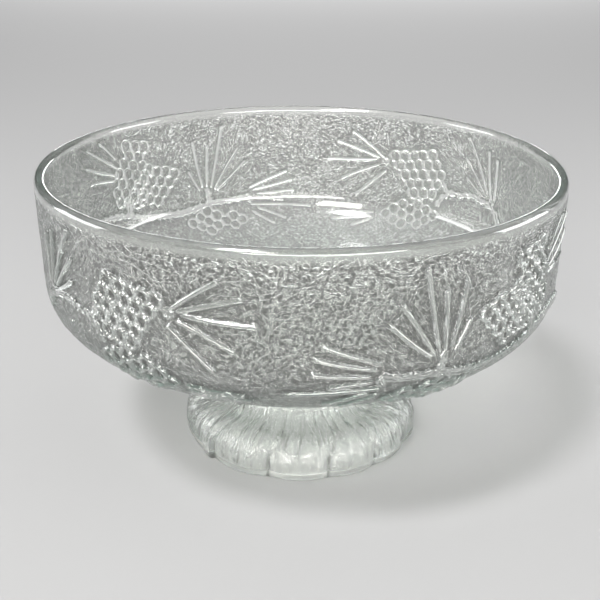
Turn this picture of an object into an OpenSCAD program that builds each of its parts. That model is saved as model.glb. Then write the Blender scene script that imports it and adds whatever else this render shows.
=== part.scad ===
// Footed punch bowl of pressed glass: a straight-sided bowl with a rounded floor on a
// hollow, scalloped foot, whose neck meets the underside of the bowl face to face. The
// origin is on the table under the bowl's axis, +Z is up and -Y is the front. Angles
// round the bowl are counted from the front towards +X, and depths run down the outer
// surface from the rim.

/* [Bowl] */
// Outer diameter of the rim
rim_d = 260; // [200:1:320]
// Height of the rim above the table
total_h = 148; // [140:1:170]
// Thickness of the side wall
wall_t = 5.5; // [4:0.1:7]
// Thickness of the glass under the lowest point of the inside
floor_t = 7; // [5:0.1:9]
// Height of the straight part of the side, from the rim down
straight_h = 51; // [40:1:60]
// Height of the underside of the bowl above the table
bowl_bottom = 48.5; // [47:0.1:52]
// How boxy the rounded part is, where 2 is an ellipse
roundness = 2.2; // [2:0.05:2.6]
// Draft of the side wall, per side
draft = 1.2; // [0:0.1:2]

/* [Foot] */
// Diameter of the neck, where the foot meets the bowl
neck_d = 74; // [60:1:80]
// Diameter over the crests of the scallops
foot_d = 126; // [110:1:150]
// How far the valleys between the scallops lie inside the crests
scallop_depth = 3; // [1:0.1:5]
// Width of the flat ring that the foot stands on
foot_ring = 8; // [6:0.1:10]
// Height of the shoulder, where the skirt turns in towards the neck
shoulder_h = 21.5; // [18:0.1:26]
// Thickness of the skirt's top and of the neck
foot_wall = 7; // [5:0.1:8]
// Thickness of the glass between the hollow and the top of the neck
crown_t = 12; // [8:0.1:14]

/* [Raised decoration] */
// Height of the needles and twigs above the wall
relief_h = 1.3; // [0.8:0.1:1.8]
// Width of one pine needle
needle_w = 2.6; // [1.6:0.1:3]
// Width of a twig
twig_w = 4.2; // [2.6:0.1:5]
// Distance between the scales of a pine cone
scale_pitch = 6.5; // [5:0.1:8]

/* [Hidden] */
glass = [0.80, 0.88, 0.84, 0.6];
overlap = 0.6;

// ---- outer and inner curves of the bowl ----
rim_r = rim_d / 2;
shoulder_r = rim_r - draft;
neck_r = neck_d / 2;
shoulder_z = total_h - straight_h;
curve_h = shoulder_z - bowl_bottom;
// Height of the rounded top of the wall
rim_round = 3;
// The bowl's underside is flat where the foot meets it, this far above the curve's lowest point
pad_rise = 0.9;
pad_z = bowl_bottom + pad_rise;
// The prisms that make the decoration start this far inside the surface, and are this long
root_depth = 4;
prism_l = 12;
curve_steps = 16;

// Quarter of a superellipse, from [r, 0] down to [0, -h]
function quarter(r, h, steps) = [for (i = [0:steps]) let (a = 90 * i / steps)
    [r * pow(cos(a), 2 / roundness), -h * pow(sin(a), 2 / roundness)]];

function lift(points, z) = [for (p = points) [p[0], p[1] + z]];

// The outer surface, grown outwards by d, from below the rim's rounding to the axis
function outer_side(d) = concat([[rim_r + d, total_h - rim_round]],
    lift(quarter(shoulder_r + d, curve_h + d, curve_steps), shoulder_z));

inner_floor = pad_z + floor_t;
inner_curve = lift(quarter(shoulder_r - wall_t, shoulder_z - inner_floor, curve_steps), shoulder_z);

function reversed(v) = [for (i = [len(v) - 1:-1:0]) v[i]];

// Rounded top of the wall, from the outside over to the inside
rim_arc = [for (a = [0:30:180])
    [rim_r - wall_t / 2 + wall_t / 2 * cos(a), total_h - rim_round + rim_round * sin(a)]];

// ---- depth down the outer surface, for placing the decoration ----
walk = outer_side(0);
function steps_to(i) = i == 0 ? rim_round : steps_to(i - 1) + norm(walk[i] - walk[i - 1]);
r_at = [for (i = [0:len(walk) - 1]) [steps_to(i), walk[i][0]]];
z_at = [for (i = [0:len(walk) - 1]) [steps_to(i), walk[i][1]]];
// How far the surface leans back from upright at depth s
function lean(s) = atan2(lookup(s - 2, r_at) - lookup(s + 2, r_at),
    lookup(s - 2, z_at) - lookup(s + 2, z_at));

// Puts its children on the outer surface: x runs round the bowl, y up, z outwards
module on_wall(angle, s) {
    rotate([0, 0, angle])
        translate([0, -lookup(s, r_at), lookup(s, z_at)])
            rotate([90 + lean(s), 0, 0])
                children();
}

// A flat bar between two places [angle, depth], with pointed ends, standing through the wall.
// Each end reaches past its place by the given amount.
module bar(from, to, w, past = 0) {
    s = (from[1] + to[1]) / 2;
    dx = (to[0] - from[0]) * PI / 180 * lookup(s, r_at);
    dy = from[1] - to[1];
    l = norm([dx, dy]) / 2 + past;
    on_wall((from[0] + to[0]) / 2, s)
        rotate([0, 0, atan2(dy, dx)])
            translate([0, 0, -root_depth])
                linear_extrude(prism_l)
                    polygon([[-l, 0], [-l + w / 2, -w / 2], [l - w / 2, -w / 2],
                        [l, 0], [l - w / 2, w / 2], [-l + w / 2, w / 2]]);
}

// ---- layout of the decoration: every place is [angle, depth] ----
// A fan of needles runs from places close together at its hub to its tips.
fans = [
    // sprig with three cones
    [[[24.5, 50.5], [16, 33.5]], [[25.3, 50], [18, 25]], [[26.2, 48.5], [22.6, 10.5]],
        [[27.5, 47.5], [27, 21.5]], [[28.8, 47.5], [31.4, 18.5]], [[29.6, 50], [33, 36.5]]],
    [[[14.6, 50.5], [4, 41]], [[13.8, 52.5], [2.5, 46.5]], [[12.8, 55.5], [2, 53.5]],
        [[13.2, 58], [5, 60.5]], [[15, 62.5], [-3, 64.5]], [[13, 65], [4.5, 74]],
        [[14.8, 67], [8, 78]]],
    [[[56.5, 20], [62.5, 7.5]], [[56.2, 25], [68, 9]], [[57.5, 28.5], [69, 18.5]],
        [[57.5, 31.8], [67.5, 28.7]]],
    // sprig with two cones
    [[[-60.8, 40], [-60.5, 16]], [[-59.3, 40], [-57, 12.5]], [[-58, 38.5], [-49.6, 8]],
        [[-57, 39], [-49.4, 21]], [[-56, 40], [-50, 32]]],
    [[[-23.5, 29], [-14.3, 14.5]], [[-22.3, 29.8], [-10, 21]], [[-21.5, 31], [-7.4, 32.8]],
        [[-22.5, 34], [-11.6, 45]], [[-24.5, 37], [-15.6, 54.8]]],
    [[[-21.8, 65.5], [-10.5, 68]], [[-21.2, 68.5], [-9, 73]], [[-22, 69.5], [-15.5, 77.5]]],
];

// A twig is a chain of places, whose bars overlap where they meet.
twigs = [
    [[15.5, 56.5], [20, 58.5], [27, 59], [31, 61], [35.5, 62.5], [42, 61.8], [47.5, 60],
        [50.5, 57.7], [54, 54.8], [58, 53], [64, 52.3], [70, 53.5], [73, 56]],
    [[52.8, 54], [53.4, 46]],
    [[27, 57.5], [27.5, 50]],
    [[-63, 52], [-61.5, 47], [-59, 43.8], [-54.5, 42.3], [-51.5, 41.5], [-48, 43.7],
        [-43.8, 43.5], [-41.8, 39]],
    [[-45, 44], [-42, 48], [-40.8, 53]],
];

// A cone is [base, tip, half width].
cones = [
    [[53.2, 49], [48.6, 8], 13.6],
    [[52, 46], [35, 34.5], 12.4],
    [[34.5, 70.5], [16.6, 73], 8.6],
    [[-41, 41.5], [-25.6, 26.5], 15],
    [[-41.2, 60.5], [-24.6, 66], 10.4],
];

// Half width of a cone at q, from 0 at its base to 1 at its tip
function cone_half(q, w) = w * pow(max(0, sin(180 * pow(q, 0.75))), 0.6);

module on_axis(c) {
    s = (c[0][1] + c[1][1]) / 2;
    dx = (c[1][0] - c[0][0]) * PI / 180 * lookup(s, r_at);
    dy = c[0][1] - c[1][1];
    on_wall((c[0][0] + c[1][0]) / 2, s)
        rotate([0, 0, atan2(dy, dx)])
            translate([-norm([dx, dy]) / 2, 0, -root_depth])
                children();
}

function axis_length(c) = norm([
    (c[1][0] - c[0][0]) * PI / 180 * lookup((c[0][1] + c[1][1]) / 2, r_at), c[0][1] - c[1][1]]);

// Low body of a cone
module cone_body(c) {
    l = axis_length(c);
    side = [for (q = [0.04:0.08:0.96]) [l * q, cone_half(q, c[2])]];
    on_axis(c)
        linear_extrude(prism_l)
            polygon(concat([[0, 0]], side, [[l, 0]], reversed([for (p = side) [p[0], -p[1]]])));
}

// Scales of a cone: rows of kite-shaped studs, each row half a pitch from the last
module cone_scales(c) {
    l = axis_length(c);
    rows = floor(l / (scale_pitch * 0.8));
    k = scale_pitch / 2 - 0.25;
    on_axis(c)
        for (i = [1:rows - 1]) {
            x = i * l / rows;
            half = cone_half(x / l, c[2]) - k;
            n = max(0, floor(half / scale_pitch - (i % 2) / 2 + 0.2));
            for (j = [-n - (i % 2):n])
                translate([x, (j + (i % 2) / 2) * scale_pitch, 0])
                    linear_extrude(prism_l)
                        polygon([[-k, 0], [-0.3, -k * 0.8], [k * 0.8, 0], [-0.3, k * 0.8]]);
        }
}

// The space just outside the wall, up to height h
module skin(h) {
    rotate_extrude($fn = 180)
        polygon(concat(outer_side(h), reversed(outer_side(-overlap))));
}

// Everything on both halves of the bowl, which repeat after half a turn
module both_halves() {
    for (turn = [0, 180])
        rotate([0, 0, turn])
            children();
}

module relief() {
    intersection() {
        skin(relief_h);
        both_halves() {
            for (fan = fans, n = fan)
                bar(n[0], n[1], needle_w);
            for (t = twigs, i = [1:len(t) - 1])
                bar(t[i - 1], t[i], twig_w, twig_w / 2);
        }
    }
    intersection() {
        skin(relief_h * 0.45);
        both_halves()
            for (c = cones)
                cone_body(c);
    }
    intersection() {
        skin(relief_h * 1.15);
        both_halves()
            for (c = cones)
                cone_scales(c);
    }
}

module bowl_shell() {
    side = [for (p = outer_side(0)) if (p[1] > pad_z) p];
    rotate_extrude($fn = 180)
        polygon(concat([[0, pad_z], [neck_r, pad_z]], reversed(side), rim_arc,
            inner_curve));
}

module bowl() {
    color(glass)
        union() {
            bowl_shell();
            relief();
        }
}

// ---- foot ----
foot_r = foot_d / 2;
foot_top = pad_z;
// Radius at which the rounded shoulder passes into the hollow curve of the neck
turn_r = (foot_r + neck_r) / 2;
// Heights at which the upright skirt ends and the upright neck starts
skirt_h = 8;
neck_h = 36;
// The same places on the inside of the foot
hollow_r = foot_r - foot_ring;
hollow_turn_r = turn_r - 5;
hollow_neck_r = neck_r - foot_wall - 1;
hollow_skirt_h = 5;
hollow_dome_z = 28;
hollow_top = foot_top - crown_t;
// Chamfer round the bottom of the foot
edge = 0.8;
// Angles of the valleys between the scallops, which are uneven like roots
valleys = [-53, -15, 14, 39, 62, 90, 117, 143, 172, 199, 226, 254, 280, 307];

// Part of an ellipse round [r0, z0], from angle a0 to a1
function arc(r0, z0, rx, rz, a0, a1) = [for (k = [0:6]) let (a = a0 + (a1 - a0) * k / 6)
    [r0 + rx * cos(a), z0 + rz * sin(a)]];

// Skirt, rounded shoulder, then the hollow curve up into the neck
foot_outer = concat(
    [[foot_r - edge, 0], [foot_r, edge]],
    arc(turn_r, skirt_h, foot_r - turn_r, shoulder_h - skirt_h, 0, 90),
    reversed(arc(turn_r, neck_h, turn_r - neck_r, neck_h - shoulder_h, 180, 262.5)),
    [[neck_r, foot_top]]);
foot_inner = concat(
    [[hollow_r, 0]],
    arc(hollow_turn_r, hollow_skirt_h, hollow_r - hollow_turn_r,
        shoulder_h - foot_wall - hollow_skirt_h, 0, 90),
    reversed(arc(hollow_turn_r, hollow_dome_z, hollow_turn_r - hollow_neck_r,
        hollow_dome_z - shoulder_h + foot_wall, 187.5, 262.5)),
    arc(0, hollow_dome_z, hollow_neck_r, hollow_top - hollow_dome_z, 0, 82.5),
    [[0, hollow_top]]);

// Scalloped outline: crests reach the full radius and valleys dip between them
function outline_r(q) = foot_r - scallop_depth * (1 - pow(sin(180 * q), 0.55));
module foot_outline() {
    steps = 8;
    count = len(valleys);
    polygon([for (i = [0:count - 1], k = [0:steps - 1])
        let (next = i == count - 1 ? valleys[0] + 360 : valleys[i + 1],
            a = valleys[i] + (next - valleys[i]) * k / steps, r = outline_r(k / steps))
        [r * sin(a), -r * cos(a)]]);
}

module foot() {
    color(glass)
        intersection() {
            rotate_extrude($fn = 180)
                polygon(concat(foot_outer, [[0, foot_top]], reversed(foot_inner)));
            linear_extrude(foot_top)
                foot_outline();
        }
}

bowl();
foot();
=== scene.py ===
"""Footed punch bowl of pressed glass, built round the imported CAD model.

The frame is the CAD's: metres, +Z up, -Y the front. The shape code works in millimetres.
Places on the bowl are (angle, depth): the angle in degrees from the front towards +X,
and the depth in millimetres down the outer surface from the rim.
"""

import math

import bpy
import numpy as np
from mathutils import Matrix, Vector


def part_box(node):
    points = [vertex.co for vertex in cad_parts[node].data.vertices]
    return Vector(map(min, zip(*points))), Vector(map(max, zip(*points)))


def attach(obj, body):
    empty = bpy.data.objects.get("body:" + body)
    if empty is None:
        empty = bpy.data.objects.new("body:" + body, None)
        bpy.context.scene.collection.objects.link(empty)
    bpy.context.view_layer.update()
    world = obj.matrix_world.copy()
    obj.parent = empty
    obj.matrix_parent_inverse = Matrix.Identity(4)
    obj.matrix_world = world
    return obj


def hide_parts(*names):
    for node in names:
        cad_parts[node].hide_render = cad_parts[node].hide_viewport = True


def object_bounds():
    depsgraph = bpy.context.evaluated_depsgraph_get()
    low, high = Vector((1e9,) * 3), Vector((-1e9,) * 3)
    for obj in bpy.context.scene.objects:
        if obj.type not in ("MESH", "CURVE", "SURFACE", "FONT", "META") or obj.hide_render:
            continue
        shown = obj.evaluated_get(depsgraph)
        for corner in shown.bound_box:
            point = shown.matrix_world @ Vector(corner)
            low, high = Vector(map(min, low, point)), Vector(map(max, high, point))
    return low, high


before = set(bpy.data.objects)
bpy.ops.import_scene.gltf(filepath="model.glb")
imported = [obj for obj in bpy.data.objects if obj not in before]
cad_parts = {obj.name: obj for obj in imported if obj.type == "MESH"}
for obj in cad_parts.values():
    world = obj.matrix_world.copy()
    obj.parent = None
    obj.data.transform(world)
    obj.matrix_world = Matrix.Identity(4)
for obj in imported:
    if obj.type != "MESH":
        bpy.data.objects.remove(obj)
CAD_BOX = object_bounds()
MM = 0.001


# ---------------------------------------------------------------- helpers
def band_noise(shape, spacing, wave, seed, stretch=1.0, spread=0.45):
    """Noise of one grain size with a standard deviation of 1, on a grid with that spacing in mm.

    Its grains are wave mm across and stretch times as long down the rows. It repeats at the edges.
    """
    rng = np.random.RandomState(seed)
    f = np.fft.rfft2(rng.standard_normal(shape))
    down = np.fft.fftfreq(shape[0], spacing[0])[:, None] * stretch
    across = np.fft.rfftfreq(shape[1], spacing[1])[None, :]
    f *= np.exp(-(((np.hypot(down, across) * wave - 1) / spread) ** 2))
    n = np.fft.irfft2(f, shape)
    return n / n.std()


def step(x, a, b):
    """0 below a, 1 above b, smooth between."""
    t = np.clip((x - a) / (b - a), 0, 1)
    return t * t * (3 - 2 * t)


class Path:
    """A profile line (r, z) in mm, read by its length from the first point.

    Its normal points outwards where the line runs down the outside.
    """

    def __init__(self, points, start=0.0):
        p = np.array(points, float)
        self.s = start + np.concatenate([[0], np.cumsum(np.hypot(*np.diff(p, axis=0).T))])
        self.p = p

    def at(self, s):
        return np.interp(s, self.s, self.p[:, 0]), np.interp(s, self.s, self.p[:, 1])

    def normal(self, s, width=1.0):
        """The normal at s, from the points that far before and after it."""
        r0, z0 = self.at(s - width)
        r1, z1 = self.at(s + width)
        length = np.hypot(r1 - r0, z1 - z0)
        return (z0 - z1) / length, (r1 - r0) / length


def turned(r, z, angle):
    """Points at radius r, height z and that angle in degrees, in metres."""
    a = np.radians(angle)
    return np.stack([r * np.sin(a), -r * np.cos(a), z + 0 * a], -1) * MM


def make_object(name, points, faces, masks):
    """A smooth mesh object, with one number per point for each mask."""
    mesh = bpy.data.meshes.new(name)
    mesh.from_pydata(points.tolist(), [], faces)
    for key, values in masks.items():
        mesh.attributes.new(key, "FLOAT", "POINT").data.foreach_set("value", np.asarray(values, np.float32))
    mesh.polygons.foreach_set("use_smooth", [True] * len(mesh.polygons))
    mesh.update()
    obj = bpy.data.objects.new(name, mesh)
    bpy.context.scene.collection.objects.link(obj)
    return obj


def ring_faces(a, b, n):
    """Quads between two rings of n points that start at a and b, a above b seen from outside."""
    return [(a + j, b + j, b + (j + 1) % n, a + (j + 1) % n) for j in range(n)]


# ---------------------------------------------------------------- camera
# From a fit to the rim's ellipse and the outline: the camera's distance from the middle of the rim, in rim
# radii, its angle above the rim's plane, and the direction it looks in, in degrees
CAMERA_REACH = 3.87281
CAMERA_UP = 15.12707
CAMERA_YAW, CAMERA_PITCH, CAMERA_ROLL = -0.0238, 23.07931, 0.45503


def make_camera():
    cam = bpy.data.objects.new("camera", bpy.data.cameras.new("camera"))
    cam.data.sensor_width = 36
    cam.data.lens = 60
    cam.data.clip_start = 0.01
    reach, up_angle = CAMERA_REACH * RIM_R * MM, math.radians(CAMERA_UP)
    place = (0, -reach * math.cos(up_angle), CAD_BOX[1][2] + reach * math.sin(up_angle))
    yaw, pitch, roll = (math.radians(a) for a in (CAMERA_YAW, CAMERA_PITCH, CAMERA_ROLL))
    fwd = Vector((math.sin(yaw) * math.cos(pitch), math.cos(yaw) * math.cos(pitch), -math.sin(pitch)))
    level = fwd.cross(Vector((0, 0, 1))).normalized()
    square = level.cross(fwd)
    right = math.cos(roll) * level + math.sin(roll) * square
    up = math.cos(roll) * square - math.sin(roll) * level
    cam.matrix_world = Matrix.Translation(place) @ Matrix((right, up, -fwd)).transposed().to_4x4()
    bpy.context.scene.collection.objects.link(cam)
    bpy.context.scene.camera = cam


# ---------------------------------------------------------------- bowl: curves
lo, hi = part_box("bowl")
RIM_R = round(hi.x / MM)
TOP = round(hi.z / MM, 1)
PAD_Z = round(lo.z / MM, 1)
PAD_R = 37.0
WALL = 5.5
LIP = WALL / 2
FLOOR = 7
SHOULDER_R, SHOULDER_Z = RIM_R - 1.2, TOP - 51
# the outer curve would reach this far below the pad, which cuts it off
UNDER_PAD = 0.9
CURVE_H = SHOULDER_Z - (PAD_Z - UNDER_PAD)
INNER_H = SHOULDER_Z - (PAD_Z + FLOOR)
# exponent of the curves' superellipse; 2 would be a plain ellipse
ROUND = 2.2


def quarter(r, h):
    """A quarter of a superellipse, from the shoulder at radius r down by h to the axis."""
    a = np.radians(np.linspace(0, 90, 400))
    return [(r * max(math.cos(x), 0) ** (2 / ROUND), SHOULDER_Z - h * math.sin(x) ** (2 / ROUND)) for x in a]


OUTER = Path([(RIM_R, TOP - LIP)] + [p for p in quarter(SHOULDER_R, CURVE_H) if p[0] > PAD_R], LIP)
INNER = Path([(RIM_R - WALL, TOP - LIP)] + quarter(SHOULDER_R - WALL, INNER_H))

# ---------------------------------------------------------------- bowl: raised decoration
# Each sprig is repeated after half a turn. A needle runs from its base to its tip.
NEEDLES = [
    # sprig with three cones: the upright fan, the fan to the left, and the fan to the right
    ((24.5, 50.5), (16, 33.5)), ((25.3, 50), (18.0, 25)), ((26.2, 48.5), (22.6, 10.5)),
    ((27.5, 47.5), (27.0, 21.5)), ((28.8, 47.5), (31.4, 18.5)), ((29.6, 50), (33.0, 36.5)),
    ((14.6, 50.5), (4, 41)), ((13.8, 52.5), (2.5, 46.5)), ((12.8, 55.5), (2.0, 53.5)),
    ((13.2, 58), (5, 60.5)), ((15, 62.5), (-3, 64.5)), ((13.0, 65), (4.5, 74)), ((14.8, 67), (8.0, 78)),
    ((56.5, 20), (62.5, 7.5)), ((56.2, 25), (68, 9)), ((57.5, 28.5), (69, 18.5)),
    ((57.5, 31.8), (67.5, 28.7)),
    # sprig with two cones: the upright fan, the fan to the right and the low fan to the right
    ((-60.8, 40), (-60.5, 16)), ((-59.3, 40), (-57, 12.5)), ((-58, 38.5), (-49.6, 8)),
    ((-57, 39), (-49.4, 21)), ((-56, 40), (-50, 32)),
    ((-23.5, 29), (-14.3, 14.5)), ((-22.3, 29.8), (-10, 21)), ((-21.5, 31), (-7.4, 32.8)),
    ((-22.5, 34), (-11.6, 45)), ((-24.5, 37), (-15.6, 54.8)),
    ((-21.8, 65.5), (-10.5, 68)), ((-21.2, 68.5), (-9, 73)), ((-22, 69.5), (-15.5, 77.5)),
]
# half width and points of each twig
TWIGS = [
    (2.0, [(15.5, 56.5), (20, 58.5), (27, 59), (31, 61)]),
    (2.5, [(31, 61), (35.5, 62.5), (42, 61.8), (47.5, 60)]),
    (2.1, [(47.5, 60), (50.5, 57.7), (54, 54.8), (58, 53), (64, 52.3), (70, 53.5), (73, 56)]),
    (2.7, [(52.8, 54), (53.4, 46)]),
    (1.9, [(27, 57.5), (27.5, 50)]),
    (2.3, [(-63, 52), (-61.5, 47)]),
    (1.9, [(-61.5, 47), (-59, 43.8), (-54.5, 42.3), (-51.5, 41.5), (-48, 43.7), (-43.8, 43.5),
           (-41.8, 39)]),
    (1.8, [(-45, 44), (-42.0, 48), (-40.8, 53)]),
]
# base, tip and half width of each cone
CONES = [
    ((53.2, 49), (48.6, 8.0), 13.6),
    ((52, 46), (35.0, 34.5), 12.4),
    ((34.5, 70.5), (16.6, 73), 8.6),
    ((-41, 41.5), (-25.6, 26.5), 15.0),
    ((-41.2, 60.5), (-24.6, 66), 10.4),
]
# ring-shaped scars where the needles of a fan meet the twig: place and radius
SCARS = [
    ((27.2, 59), 2.9), ((15, 58.5), 2.5), ((56.8, 29), 2.3),
    ((-59.3, 42.5), 2.4), ((-24.2, 31.5), 2.6),
]
NEEDLE_HEIGHT, TWIG_HEIGHT, SCAR_HEIGHT, CONE_HEIGHT = 1.7, 1.5, 1.6, 1.75
NEEDLE_HALF = 1.25
# a cone's pits: their distances along it and across it, and half their size out to the crest of the ridge
PIT_ALONG, PIT_ACROSS = 5.4, 6.8
PIT_LONG, PIT_WIDE = 3.15, 3.4
# angle of a mould seam; the other is half a turn away
SEAM = -4.6

# The relief is a grid over the outer surface, with columns round it and rows down from the lip, both in whole
# leaves.
LEAF = 8
COLUMNS = 1856
TURN = 360 / COLUMNS
# the rows are at least this far apart
ROW_GAP = 0.44
ROWS = int((OUTER.s[-1] - LIP) / ROW_GAP / LEAF) * LEAF
DOWN = (OUTER.s[-1] - LIP) / ROWS
relief = np.zeros((ROWS + 1, COLUMNS))
smooth_parts = np.zeros_like(relief)


def local(centre, margin, reach):
    """The grid round a place: its rows, its columns, and mm to the right of it and above it."""
    angle, depth = centre
    r = float(OUTER.at(depth)[0])
    wide = math.degrees((reach + margin) / r)
    cols = np.arange(math.floor((angle - wide) / TURN), math.ceil((angle + wide) / TURN) + 1)
    first = max(0, math.floor((depth - reach - margin - LIP) / DOWN))
    last = min(ROWS, math.ceil((depth + reach + margin - LIP) / DOWN))
    rows = np.arange(first, last + 1)
    x = np.radians(cols * TURN - angle) * r
    y = depth - (LIP + rows * DOWN)
    shape = (len(rows), len(cols))
    return rows, cols, np.broadcast_to(x, shape), np.broadcast_to(y[:, None], shape)


def on_axis(a, b, margin):
    """The grid round the line from a to b: u runs along it from 0 to its length, v across."""
    mid = ((a[0] + b[0]) / 2, (a[1] + b[1]) / 2)
    r = float(OUTER.at(mid[1])[0])
    dx, dy = math.radians(b[0] - a[0]) * r, a[1] - b[1]
    length = math.hypot(dx, dy)
    rows, cols, x, y = local(mid, margin, length / 2)
    u = (x * dx + y * dy) / length + length / 2
    return rows, cols, u, (y * dx - x * dy) / length, length


def stamp(rows, cols, h, smooth=None):
    """Adds a raised part to both halves of the bowl. smooth says where it has no stipple."""
    for half in (0, COLUMNS // 2):
        at = np.ix_(rows, (cols + half) % COLUMNS)
        relief[at] = np.maximum(relief[at], h)
        smooth_parts[at] = np.maximum(smooth_parts[at], step(h, 0.05, 0.5) if smooth is None else smooth)


def needle(a, b, rng):
    """A slightly bent, rounded bar that widens towards its tip."""
    rows, cols, u, v, length = on_axis(a, b, 3)
    v = v + rng.uniform(-0.6, 0.6) * np.sin(math.pi * np.clip(u / length, 0, 1))
    half = NEEDLE_HALF + 0.25 * step(u, length - 4, length - 1) - 0.12 * step(-u, -4, 0)
    d = np.hypot(u - np.clip(u, 0.6, length - 1), v) / half
    stamp(rows, cols, NEEDLE_HEIGHT * np.sqrt(np.clip(1 - d**2, 0, 1)))


def twig(half, places, rng):
    """A knotty bar through its points, with a groove along its middle."""
    for a, b in zip(places, places[1:]):
        rows, cols, u, v, length = on_axis(a, b, 5)
        w = half * np.ones(u.shape)
        for _ in range(max(2, int(length / 3.2))):
            w = w + 0.5 * rng.uniform(0.5, 1) * np.exp(-((u - rng.uniform(0, length)) ** 2) / 0.9)
        d = np.hypot(u - np.clip(u, 0, length), v + 0.4 * np.sin(u * 1.3 + rng.uniform(0, 6))) / w
        bark = 0.16 * np.sin(v * 4.2 + np.sin(u * 1.7))
        groove = 0.55 * np.exp(-(((v + 0.4 * np.sin(u * 0.9)) / 0.7) ** 2))
        stamp(rows, cols, (TWIG_HEIGHT + bark - groove) * np.clip(1 - d**2, 0, 1) ** 0.32)


def scar(place, radius):
    """A low disc with a raised ring."""
    rows, cols, x, y = local(place, 2, radius)
    e = np.hypot(x, y) / radius
    stamp(rows, cols, np.maximum(SCAR_HEIGHT * np.exp(-(((e - 0.72) / 0.3) ** 2)), 0.5) * (e < 1.1))


def cone(base, tip, half, rng):
    """Staggered round pits in one network of thick, rounded ridges, which are higher on the tip's side."""
    rows, cols, u, v, length = on_axis(base, tip, half + 4)

    def width(q):
        """Half the cone's width at that share of its length."""
        return half * np.sin(math.pi * np.clip(q, 0.001, 0.999) ** 0.72) ** 0.55

    nearest = np.full(u.shape, 9.0)
    lip = np.ones(u.shape)
    for i in range(int(length / PIT_ALONG) + 1):
        place = (i + 0.45) * PIT_ALONG
        w = float(width(min(place / length, 0.97)))
        n = int(w / PIT_ACROSS + 1)
        for j in range(-n, n + 1):
            across = (j + (i % 2) / 2) * PIT_ACROSS
            if abs(across) > w - 1.2 or place > length - 1.0:
                continue
            du = u - place - rng.uniform(-0.5, 0.5)
            dv = v - across - rng.uniform(-0.45, 0.45)
            size = rng.uniform(0.94, 1.08)
            e = np.hypot(du / (PIT_LONG + 0.25 * (du > 0)), dv / (PIT_WIDE - 0.05 * du)) / size
            closer = e < nearest
            nearest = np.where(closer, e, nearest)
            lip = np.where(closer, 1 + 0.22 * du / np.maximum(np.hypot(du, dv), 0.5), lip)
    ridge = np.exp(-(np.abs((nearest - 1.0) / 0.30) ** 2.2))
    h = (0.08 + CONE_HEIGHT * lip * ridge) * (nearest < 1.5)
    stamp(rows, cols, h, step(ridge, 0.15, 0.55))


def decorate():
    rng = np.random.RandomState(7)
    for a, b in NEEDLES:
        needle(a, b, rng)
    for half, places in TWIGS:
        twig(half, places, rng)
    for base, tip, half in CONES:
        cone(base, tip, half, rng)
    for place, radius in SCARS:
        scar(place, radius)


# ---------------------------------------------------------------- bowl: mesh
def deviation(h, n):
    """How far the grid leaves a flat patch over each block of n by n cells."""
    wrapped = np.concatenate([h, h[:, :1]], 1)
    t = np.arange(n + 1) / n
    blocks = np.lib.stride_tricks.sliding_window_view(wrapped, (n + 1, n + 1))[::n, ::n]
    a, b, c, d = (blocks[..., i, j][..., None, None] for i, j in ((0, 0), (0, n), (n, 0), (n, n)))
    ty, tx = t[:, None], t[None, :]
    flat = (a * (1 - tx) + b * tx) * (1 - ty) + (c * (1 - tx) + d * tx) * ty
    return np.abs(blocks - flat).max((2, 3))


def grown(m):
    """A mask and its eight neighbours, wrapping round the columns."""
    out = m.copy()
    out[1:] |= m[:-1]
    out[:-1] |= m[1:]
    return out | np.roll(out, 1, 1) | np.roll(out, -1, 1)


def softened(h, reach):
    """The relief averaged over squares of 2 * reach + 1 grid steps, twice."""
    for _ in range(2):
        h = sum(np.roll(h, k, 1) for k in range(-reach, reach + 1)) / (2 * reach + 1)
        padded = np.pad(h, ((reach, reach), (0, 0)), "edge")
        h = sum(padded[k:k + len(h)] for k in range(2 * reach + 1)) / (2 * reach + 1)
    return h


def coarser(m):
    """A mask of the blocks of 2 by 2 cells with any cell set."""
    return m.reshape(m.shape[0] // 2, 2, m.shape[1] // 2, 2).any((1, 3))


def leaves(h, tolerance, fine_rows):
    """Cells of 8, 4, 2 or 1 grid steps, at most 2 in the fine rows and small where the relief is.

    Neighbours are at most one size apart, so that a cell needs only its edges' midpoints to meet them.
    """
    split2 = deviation(h, 2) > tolerance
    split4 = (deviation(h, 4) > tolerance) | coarser(grown(split2)) | fine_rows.repeat(2)[:, None]
    split8 = (deviation(h, 8) > tolerance) | coarser(grown(split4))
    split4 &= split8.repeat(2, 0).repeat(2, 1)
    split2 &= split4.repeat(2, 0).repeat(2, 1)
    for size, take in (
        (8, ~split8),
        (4, ~split4 & split8.repeat(2, 0).repeat(2, 1)),
        (2, ~split2 & split4.repeat(2, 0).repeat(2, 1)),
        (1, split2.repeat(2, 0).repeat(2, 1)),
    ):
        i, j = np.nonzero(take)
        yield size, i * size, j * size


# the stipple's share in the mesh: the width of its grains, and its height at one standard deviation
GRAIN_WAVE, GRAIN_HEIGHT = 2.9, 0.14
# depths where the stipple sets in, under the smooth band at the rim, and how far before the pad it fades out
STIPPLE_IN, STIPPLE_OUT = (4.2, 5.4), (6, 2)
# a seam's height in mm and half its width in degrees, and the depths where it sets in and fades out
SEAM_HEIGHT, SEAM_HALF = 0.16, 0.16
SEAM_IN, SEAM_OUT = (6, 8), (130, 150)
# depths between which the cells are at most 2 grid steps
FINE_TOP, FINE_END = 5.5, 112
# how far the relief may leave a cell
TOLERANCE = 0.07
# rings of points down the inside, and the width over which the pad's edge slopes
INSIDE_ROWS = 54
PAD_EDGE = 0.4


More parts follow.
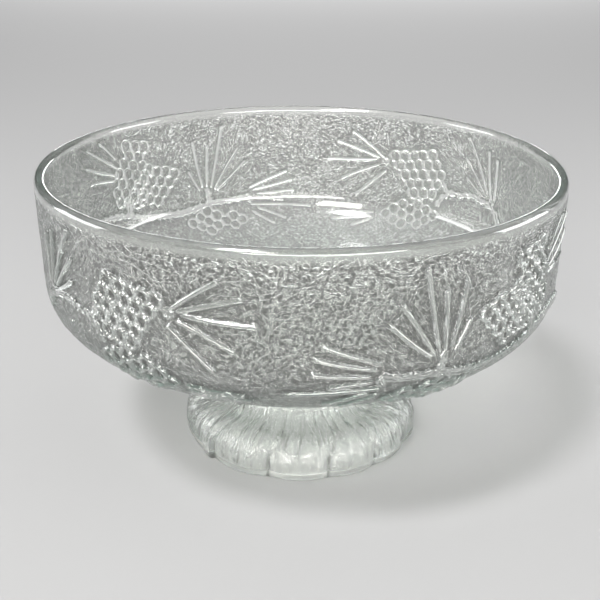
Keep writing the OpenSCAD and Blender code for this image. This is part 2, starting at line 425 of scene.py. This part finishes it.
def bowl_surface(depth):
    """The outside's height above its curve in mm, and the masks of the stipple and of the painted shade."""
    decorate()
    plain = 1 - smooth_parts
    grain = band_noise(relief.shape, (DOWN, math.radians(TURN) * RIM_R), GRAIN_WAVE, 11, spread=0.35)
    fade = (depth[-1] - far for far in STIPPLE_OUT)
    stippled = (step(depth, *STIPPLE_IN) * (1 - step(depth, *fade)))[:, None] * plain
    angle = (np.arange(COLUMNS) * TURN)[None, :]
    seam = sum(np.exp(-(((angle - c) / SEAM_HALF) ** 2)) for c in (180 + SEAM, 360 + SEAM))
    height = relief + GRAIN_HEIGHT * grain * stippled
    height += SEAM_HEIGHT * seam * (step(depth, *SEAM_IN) * (1 - step(depth, *SEAM_OUT)))[:, None] * plain
    # painted shade: the colour is darker beside raised parts and in the stipple's hollows, where shade falls
    painted_shade = np.clip(0.9 * (softened(relief, 4) - relief), 0, 1)
    painted_shade += np.clip(0.08 - 0.15 * grain, 0, 0.3) * stippled
    return height, stippled, painted_shade


def make_bowl():
    depth = LIP + np.arange(ROWS + 1) * DOWN
    height, stippled, painted_shade = bowl_surface(depth)

    wanted = np.zeros((ROWS + 1, COLUMNS), bool)
    blocks = depth[:-1:LEAF]
    cells = list(leaves(relief, TOLERANCE, (blocks > FINE_TOP) & (blocks < FINE_END)))
    for n, i, j in cells:
        for di, dj in ((0, 0), (0, n), (n, 0), (n, n)):
            wanted[i + di, (j + dj) % COLUMNS] = True
    number = np.full(wanted.shape, -1)
    rows, cols = np.nonzero(wanted)
    number[rows, cols] = np.arange(len(rows))

    r, z = OUTER.at(depth[rows])
    nr, nz = OUTER.normal(depth[rows])
    h = height[rows, cols]
    points = [turned(r + h * nr, z + h * nz, cols * TURN)]
    faces = []
    for n, i, j in cells:
        # the corners, with the midpoint of each edge where a smaller cell has put one
        m = n // 2
        around = [(0, 0), (n, 0), (n, n), (0, n)]
        if m:
            around = [(0, 0), (m, 0), (n, 0), (n, m), (n, n), (m, n), (0, n), (0, m)]
        ids = np.stack([number[i + di, (j + dj) % COLUMNS] for di, dj in around], 1)
        faces += [tuple(k for k in row if k >= 0) for row in ids.tolist()]

    # lip, inside and middle of the floor
    ring = COLUMNS // LEAF
    ring_angle = np.arange(ring) * LEAF * TURN
    lip = np.radians(np.arange(15, 181, 15))
    rings = [(RIM_R - LIP + LIP * math.cos(a), TOP - LIP + LIP * math.sin(a)) for a in lip]
    inside = np.linspace(0, INNER.s[-1], INSIDE_ROWS + 2)[1:-1]
    rings += list(zip(*INNER.at(inside)))
    first = len(rows)
    for rr, zz in rings:
        points.append(turned(np.full(ring, rr), zz, ring_angle))
    for k in range(len(rings) - 1):
        faces += ring_faces(first + (k + 1) * ring, first + k * ring, ring)
    centre = first + len(rings) * ring
    points.append(turned(np.zeros(2), np.array([INNER.p[-1][1], PAD_Z]), np.zeros(2)))
    last = first + (len(rings) - 1) * ring
    faces += [(last + j, last + (j + 1) % ring, centre) for j in range(ring)]

    def edge(row, j):
        """The points of the relief's first or last row along leaf j."""
        around = (number[row, c % COLUMNS] for c in range(j * LEAF, (j + 1) * LEAF + 1))
        return tuple(k for k in around if k >= 0)

    for j in range(ring):
        faces.append((first + (j + 1) % ring, first + j) + edge(0, j))
    # the flat pad underneath
    pad = centre + 2
    points.append(turned(np.full(ring, PAD_R - PAD_EDGE), PAD_Z, ring_angle))
    for j in range(ring):
        faces.append(edge(ROWS, j)[::-1] + (pad + j, pad + (j + 1) % ring))
        faces.append((pad + (j + 1) % ring, pad + j, centre + 1))

    points = np.concatenate(points)
    grain, shade = np.zeros(len(points)), np.zeros(len(points))
    grain[:len(rows)] = stippled[rows, cols]
    # the painted shade goes into the mesh's shade mask
    shade[:len(rows)] = painted_shade[rows, cols]
    return make_object("bowl_glass_shell", points, faces, {"grain": grain, "frost": grain, "shade": shade})


# ---------------------------------------------------------------- foot
_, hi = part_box("foot")
FOOT_R = 63.0
# the foot's top reaches this far into the bowl's pad, so that the two look like one body of glass
FUSED = 0.1
FOOT_TOP = round(hi.z / MM, 1) + FUSED
NECK_R = PAD_R
# radius of the lower edge, and the heights where the skirt rounds in, is level, and becomes the neck
EDGE, SKIRT_Z, LEVEL_Z, NECK_Z = 3.2, 8, 21.5, 36
# the hollow: radii of its mouth, level step and throat, and the heights of mouth, step, throat and crown
MOUTH_R, STEP_R, THROAT_R = 55, 45, 29
MOUTH_Z, STEP_Z, THROAT_Z, CROWN_Z = 5, 14.5, 28, 37.4
FOOT_COLUMNS, FOOT_ROWS, HOLLOW_ROWS = 720, 88, 33
# the lobes: how far their grooves swing round in degrees, how deep they are on the neck and how much more on
# the skirt, and the width in degrees at which they are that deep
SWING, LOBE_DEPTH, SKIRT_MORE, LOBE_WIDTH = 5.5, 1.5, 1.7, 26
# heights of the bark's fine and broad ridges and of the neck's ragged ones, at one standard deviation
FINE_HEIGHT, BROAD_HEIGHT, RAGGED_HEIGHT = 0.26, 0.3, 0.45
# unevenness of the hollow, likewise
HOLLOW_HEIGHT = 0.35
# angles of the grooves between the lobes; the last is the first one again, a turn later
GROOVES = np.array([-53, -47, -15, 14, 39, 62, 90, 117, 143, 172, 199, 226, 254, 280, 307], float)


def arc(r0, z0, rx, rz, a0, a1):
    """A stretch of an ellipse round (r0, z0), from a0 to a1 degrees."""
    a = np.radians(np.linspace(a0, a1, 40))
    return list(zip(r0 + rx * np.cos(a), z0 + rz * np.sin(a)))


def foot_relief(s, z, angle, spacing):
    """How far the outside stands out from its profile, in mm: lobes like roots, with ridges like bark."""
    end = s[-1]
    # the grooves swing to one side between the skirt and the neck
    swing = SWING * np.sin(np.clip((s - 14) / 34, 0, 1) * math.pi)
    a = (angle[None, :] - swing[:, None] - GROOVES[0]) % 360
    starts = (GROOVES - GROOVES[0]) % 360
    ends = np.append(starts[1:], 360)
    # A known fault: the last start wraps to 0, so the starts aren't in order, and the lookup
    # finds no lobes between the grooves at 254 and 307 degrees. That stretch is one slope.
    k = np.searchsorted(starts, a, side="right") - 1
    wide = ends[k] - starts[k]
    q = (a - starts[k]) / wide
    lobe = np.sin(math.pi * q) ** 0.42
    # each lobe ends in a small step over the next one
    lean = 0.55 * (q - 0.5)
    on_skirt = 1 - step(z, 9, 24)
    depth = (LOBE_DEPTH + SKIRT_MORE * on_skirt)[:, None] * np.minimum(wide / LOBE_WIDTH, 1.1)
    drop = depth * (1 - lobe) - lean * (0.35 + 0.8 * on_skirt)[:, None]

    shape = a.shape
    ridges = band_noise(shape, spacing, 2.5, 21, stretch=6.0, spread=0.5)
    broad = band_noise(shape, spacing, 8.5, 22, stretch=4.0, spread=0.5)
    fine = step(s, 4.5, 9)[:, None] * (0.75 + 0.25 * step(z, 14, 20))[:, None]
    # the neck's ridges are short, deep and ragged
    ragged = band_noise(shape, spacing, 3.2, 24, stretch=2.2, spread=0.6)
    neck = (step(s, end - 26, end - 14) * (1 - step(s, end - 4, end - 1)))[:, None]
    h = -drop + fine * (FINE_HEIGHT * ridges + BROAD_HEIGHT * broad) + RAGGED_HEIGHT * neck * ragged
    return h * (1 - step(s, end - 5, end))[:, None]


def make_foot():
    turn = (FOOT_R + NECK_R) / 2
    outer = Path(
        arc(FOOT_R - EDGE, EDGE, EDGE, EDGE, -90, 0)
        + arc(turn, SKIRT_Z, FOOT_R - turn, LEVEL_Z - SKIRT_Z, 0, 90)
        + arc(turn, NECK_Z, turn - NECK_R, NECK_Z - LEVEL_Z, 270, 180)
        + [(NECK_R, FOOT_TOP)]
    )
    hollow = Path(
        [(MOUTH_R, 0)]
        + arc(STEP_R, MOUTH_Z, MOUTH_R - STEP_R, STEP_Z - MOUTH_Z, 0, 90)
        + arc(STEP_R, THROAT_Z, STEP_R - THROAT_R, THROAT_Z - STEP_Z, 270, 180)
        + arc(0, THROAT_Z, THROAT_R, CROWN_Z - THROAT_Z, 0, 90)
    )
    n, rows = FOOT_COLUMNS, FOOT_ROWS
    angle = np.arange(n) * 360 / n
    s = np.linspace(0, outer.s[-1], rows)
    r, z = outer.at(s)
    spacing = (outer.s[-1] / rows, 2 * math.pi * FOOT_R / n)
    h = foot_relief(s, z, angle, spacing)
    # painted shade: the colour is darker in the grooves, where shade falls
    painted_shade = np.clip(0.8 * (softened(h, 4) - h), 0, 0.7)

    # this path runs from the bottom up, so outwards is against its normal
    nr, nz = (-part for part in outer.normal(s, 0.6))
    # the relief is lower where the radius is smaller, and leaves the ring that the foot stands on flat
    lower = np.clip(r / FOOT_R, 0.62, 1)[:, None]
    lifted = step(s, 0.0, 2.5)[:, None]
    radius = np.minimum(r[:, None] + h * nr[:, None] * lower, FOOT_R - 0.05)
    up = np.clip(z[:, None] + h * nz[:, None] * lower * lifted, 0, FOOT_TOP)
    up[0] = 0
    points = [turned(radius[i], up[i], angle) for i in range(rows)]
    faces = []
    for i in range(rows - 1):
        faces += ring_faces((i + 1) * n, i * n, n)
    # top of the neck
    points.append(turned(np.zeros(1), FOOT_TOP, np.zeros(1)))
    top = rows * n
    faces += [(top - n + j, top - n + (j + 1) % n, top) for j in range(n)]

    # hollow: the flat ring's inner edge, then up to the crown
    t = np.linspace(0, hollow.s[-1], HOLLOW_ROWS + 1)[:-1]
    hr, hz = hollow.at(t)
    wave = HOLLOW_HEIGHT * band_noise((len(t), n), spacing, 9.0, 23, stretch=5.0)
    wave *= (step(t, 1, 8) * (1 - step(t, t[-1] - 16, t[-1])))[:, None]
    first = top + 1
    for i in range(len(t)):
        points.append(turned(hr[i] + wave[i], hz[i], angle))
    for i in range(len(t) - 1):
        faces += ring_faces(first + i * n, first + (i + 1) * n, n)
    faces += ring_faces(0, first, n)
    end = first + len(t) * n
    points.append(turned(np.zeros(1), hollow.p[-1][1], np.zeros(1)))
    faces += [(end - n + (j + 1) % n, end - n + j, end) for j in range(n)]

    points = np.concatenate(points)
    grain, frost, shade = (np.zeros(len(points)) for _ in range(3))
    grain[:top] = np.repeat(step(s, 3, 8), n)
    # the ring that the foot stands on is the roughest
    frost[:top] = np.repeat(1 - 0.85 * step(s, 4, 9), n)
    frost[first:first + n] = 1
    # the painted shade of the grooves goes into the mesh's shade mask
    shade[:top] = painted_shade.ravel()
    return make_object("foot_glass_shell", points, faces, {"grain": grain, "frost": frost, "shade": shade})


# ---------------------------------------------------------------- materials
TINT = (0.62, 0.92, 0.81, 1)
TINT_DENSITY = 8.0
POLISHED = 0.02
# the glass's own colour, and the dark grey of the painted shade in hollows and beside raised parts
CLEAR, PAINTED_SHADE_GREY = (0.985, 0.98, 0.965, 1), (0.10, 0.097, 0.094, 1)
# what a lamp's straight ray keeps at each surface
STRAIGHT = (0.62, 0.62, 0.61, 1)
# how far from its middle value the noise still makes a ridge
RIDGE_HALF = 0.13
# the coat's texture is deeper than the glass's by this factor
GLINT = 1.5
# the slow unevenness: waves per metre, and depth in metres
SLOW_SCALE, SLOW_DEPTH = 60, 0.00015


def glass(name, grain_size, grain_depth, roughness, shading):
    """Clear glass, faintly green through its thickness, with a pressed texture where the grain mask is.

    Its grain is in metres. The roughness is reached where the frost mask is 1, and shading says how much
    painted shade darkens the texture's hollows.
    """
    mat = bpy.data.materials.new(name)
    mat.use_nodes = True
    nodes, links = mat.node_tree.nodes, mat.node_tree.links
    nodes.clear()

    def add(kind, inputs, output=0, **settings):
        """An output of a new node, each of whose inputs is a value or the output of another node."""
        node = nodes.new("ShaderNode" + kind)
        for key, value in settings.items():
            setattr(node, key, value)
        for key, value in inputs.items():
            if isinstance(value, bpy.types.NodeSocket):
                links.new(value, node.inputs[key])
            else:
                node.inputs[key].default_value = value
        return node.outputs[output]

    def mask(key):
        return add("Attribute", {}, "Fac", attribute_name=key)

    grain, frost, shade = mask("grain"), mask("frost"), mask("shade")
    place = add("TexCoord", {}, "Object")

    # rounded, worm-like ridges run where the noise crosses its middle value
    noise = add("TexNoise", {
        "Vector": place, "Scale": 1 / grain_size, "Detail": 1.0, "Roughness": 0.30, "Distortion": 0.9,
    })
    offset = add("Math", {0: noise, 1: 0.5}, operation="SUBTRACT")
    away = add("Math", {0: offset}, operation="ABSOLUTE")
    worms = add("MapRange", {
        "Value": away, "From Min": 0.0, "From Max": RIDGE_HALF, "To Min": 1.0, "To Max": 0.0,
    })
    ridges = add("Math", {0: worms, 1: grain}, operation="MULTIPLY")
    pressed = add("Bump", {"Strength": 1.0, "Distance": grain_depth, "Height": ridges})
    # a slow unevenness over all of the glass
    slow = add("TexNoise", {"Vector": place, "Scale": SLOW_SCALE, "Detail": 1.0})
    normal = add("Bump", {"Strength": 1.0, "Distance": SLOW_DEPTH, "Height": slow, "Normal": pressed})
    glint = add("Bump", {"Strength": 1.0, "Distance": GLINT * grain_depth, "Height": ridges})

    # painted shade: the base colour is darker between the ridges and where the mesh's shade mask says
    hollow = add("Math", {0: grain, 1: ridges}, operation="SUBTRACT")
    dark = add("Math", {0: hollow, 1: shading, 2: shade}, operation="MULTIPLY_ADD")
    colour = add("Mix", {"Factor": dark, "A": CLEAR, "B": PAINTED_SHADE_GREY}, "Result", data_type="RGBA")
    rough = add("MapRange", {"Value": frost, "To Min": POLISHED, "To Max": roughness})
    # the coat is stronger than any on real glass, for its glints
    shader = add("BsdfPrincipled", {
        "Base Color": colour, "Roughness": rough, "Normal": normal, "Transmission Weight": 0.97, "IOR": 1.5,
        "Coat Weight": 0.55, "Coat Roughness": 0.12, "Coat IOR": 1.9, "Coat Normal": glint,
    })

    # lamps shine straight through the glass instead of leaving a solid shadow
    lamp_ray = add("LightPath", {}, "Is Shadow Ray")
    straight = add("BsdfTransparent", {"Color": STRAIGHT})
    surface = add("MixShader", {0: lamp_ray, 1: shader, 2: straight})
    volume = add("VolumeAbsorption", {"Color": TINT, "Density": TINT_DENSITY})
    out = nodes.new("ShaderNodeOutputMaterial")
    links.new(surface, out.inputs["Surface"])
    links.new(volume, out.inputs["Volume"])
    return mat


# ---------------------------------------------------------------- stage
FLOOR_HALF = 8.0
FLOOR_GREY, FLOOR_ROUGHNESS = (0.36, 0.36, 0.362, 1), 0.85
# the world's two greys, the share of its height at which each is reached, and its strength
LOW_GREY, LOW_END = (0.03, 0.03, 0.031, 1), 0.30
HIGH_GREY, HIGH_START = (1, 1, 1, 1), 0.66
WORLD_STRENGTH = 0.45


def make_floor():
    a = FLOOR_HALF
    mesh = bpy.data.meshes.new("floor")
    mesh.from_pydata([(-a, -a, 0), (a, -a, 0), (a, a, 0), (-a, a, 0)], [], [(0, 1, 2, 3)])
    floor = bpy.data.objects.new("floor", mesh)
    bpy.context.scene.collection.objects.link(floor)
    mat = bpy.data.materials.new("floor_grey")
    mat.use_nodes = True
    shader = mat.node_tree.nodes["Principled BSDF"]
    shader.inputs["Base Color"].default_value = FLOOR_GREY
    shader.inputs["Roughness"].default_value = FLOOR_ROUGHNESS
    mesh.materials.append(mat)


def make_world():
    """A studio that is dark below and bright above."""
    world = bpy.data.worlds.new("studio")
    bpy.context.scene.world = world
    world.use_nodes = True
    nodes, links = world.node_tree.nodes, world.node_tree.links
    way = nodes.new("ShaderNodeTexCoord")
    split = nodes.new("ShaderNodeSeparateXYZ")
    links.new(way.outputs["Generated"], split.inputs[0])
    ramp = nodes.new("ShaderNodeValToRGB")
    low, high = ramp.color_ramp.elements
    low.position, low.color = LOW_END, LOW_GREY
    high.position, high.color = HIGH_START, HIGH_GREY
    links.new(split.outputs["Z"], ramp.inputs["Fac"])
    links.new(ramp.outputs["Color"], nodes["Background"].inputs["Color"])
    nodes["Background"].inputs["Strength"].default_value = WORLD_STRENGTH


def softbox(name, place, aim, size, watts, colour=(1, 1, 1)):
    """A rectangular lamp that points at a height on the bowl's axis."""
    light = bpy.data.lights.new(name, "AREA")
    light.shape = "RECTANGLE"
    light.size, light.size_y = size
    light.energy = watts
    light.color = colour
    obj = bpy.data.objects.new(name, light)
    obj.location = place
    obj.rotation_euler = (Vector((0, 0, aim)) - Vector(place)).to_track_quat("-Z", "Y").to_euler()
    bpy.context.scene.collection.objects.link(obj)


def make_lamps():
    softbox("key", (-0.45, -1.0, 1.0), aim=0.08, size=(0.5, 0.4), watts=9, colour=(1, 0.975, 0.945))
    softbox("front", (0.4, -2.4, 0.63), aim=0.09, size=(3.0, 0.6), watts=64, colour=(1, 0.98, 0.955))
    softbox("low_back", (0, 2.7, 0.36), aim=0.12, size=(2.0, 0.16), watts=10)
    softbox("left_strip", (-0.9, 0.1, 0.3), aim=0.1, size=(0.5, 0.4), watts=4)
    softbox("right_strip", (0.9, 0.1, 0.3), aim=0.1, size=(0.5, 0.4), watts=4)

    sun = bpy.data.objects.new("overhead", bpy.data.lights.new("overhead", "SUN"))
    sun.data.energy = 2.5
    sun.data.angle = math.radians(11)
    sun.rotation_euler = Vector((0.35, 0.45, -1)).to_track_quat("-Z", "Y").to_euler()
    bpy.context.scene.collection.objects.link(sun)


# ---------------------------------------------------------------- assembly
make_camera()
make_floor()
make_world()
make_lamps()
bpy.context.scene.view_settings.view_transform = "Standard"

BOWL_GLASS = glass("pressed_glass_bowl", grain_size=0.0019, grain_depth=0.00030, roughness=0.27, shading=0.92)
FOOT_GLASS = glass("pressed_glass_foot", grain_size=0.0013, grain_depth=0.00010, roughness=0.42, shading=0.0)

for piece, node, slot, mat in (
    (make_bowl(), "bowl", "bowl_glass", BOWL_GLASS),
    (make_foot(), "foot", "foot_glass", FOOT_GLASS),
):
    piece.data.materials.append(mat)
    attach(piece, "root")
    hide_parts(node)
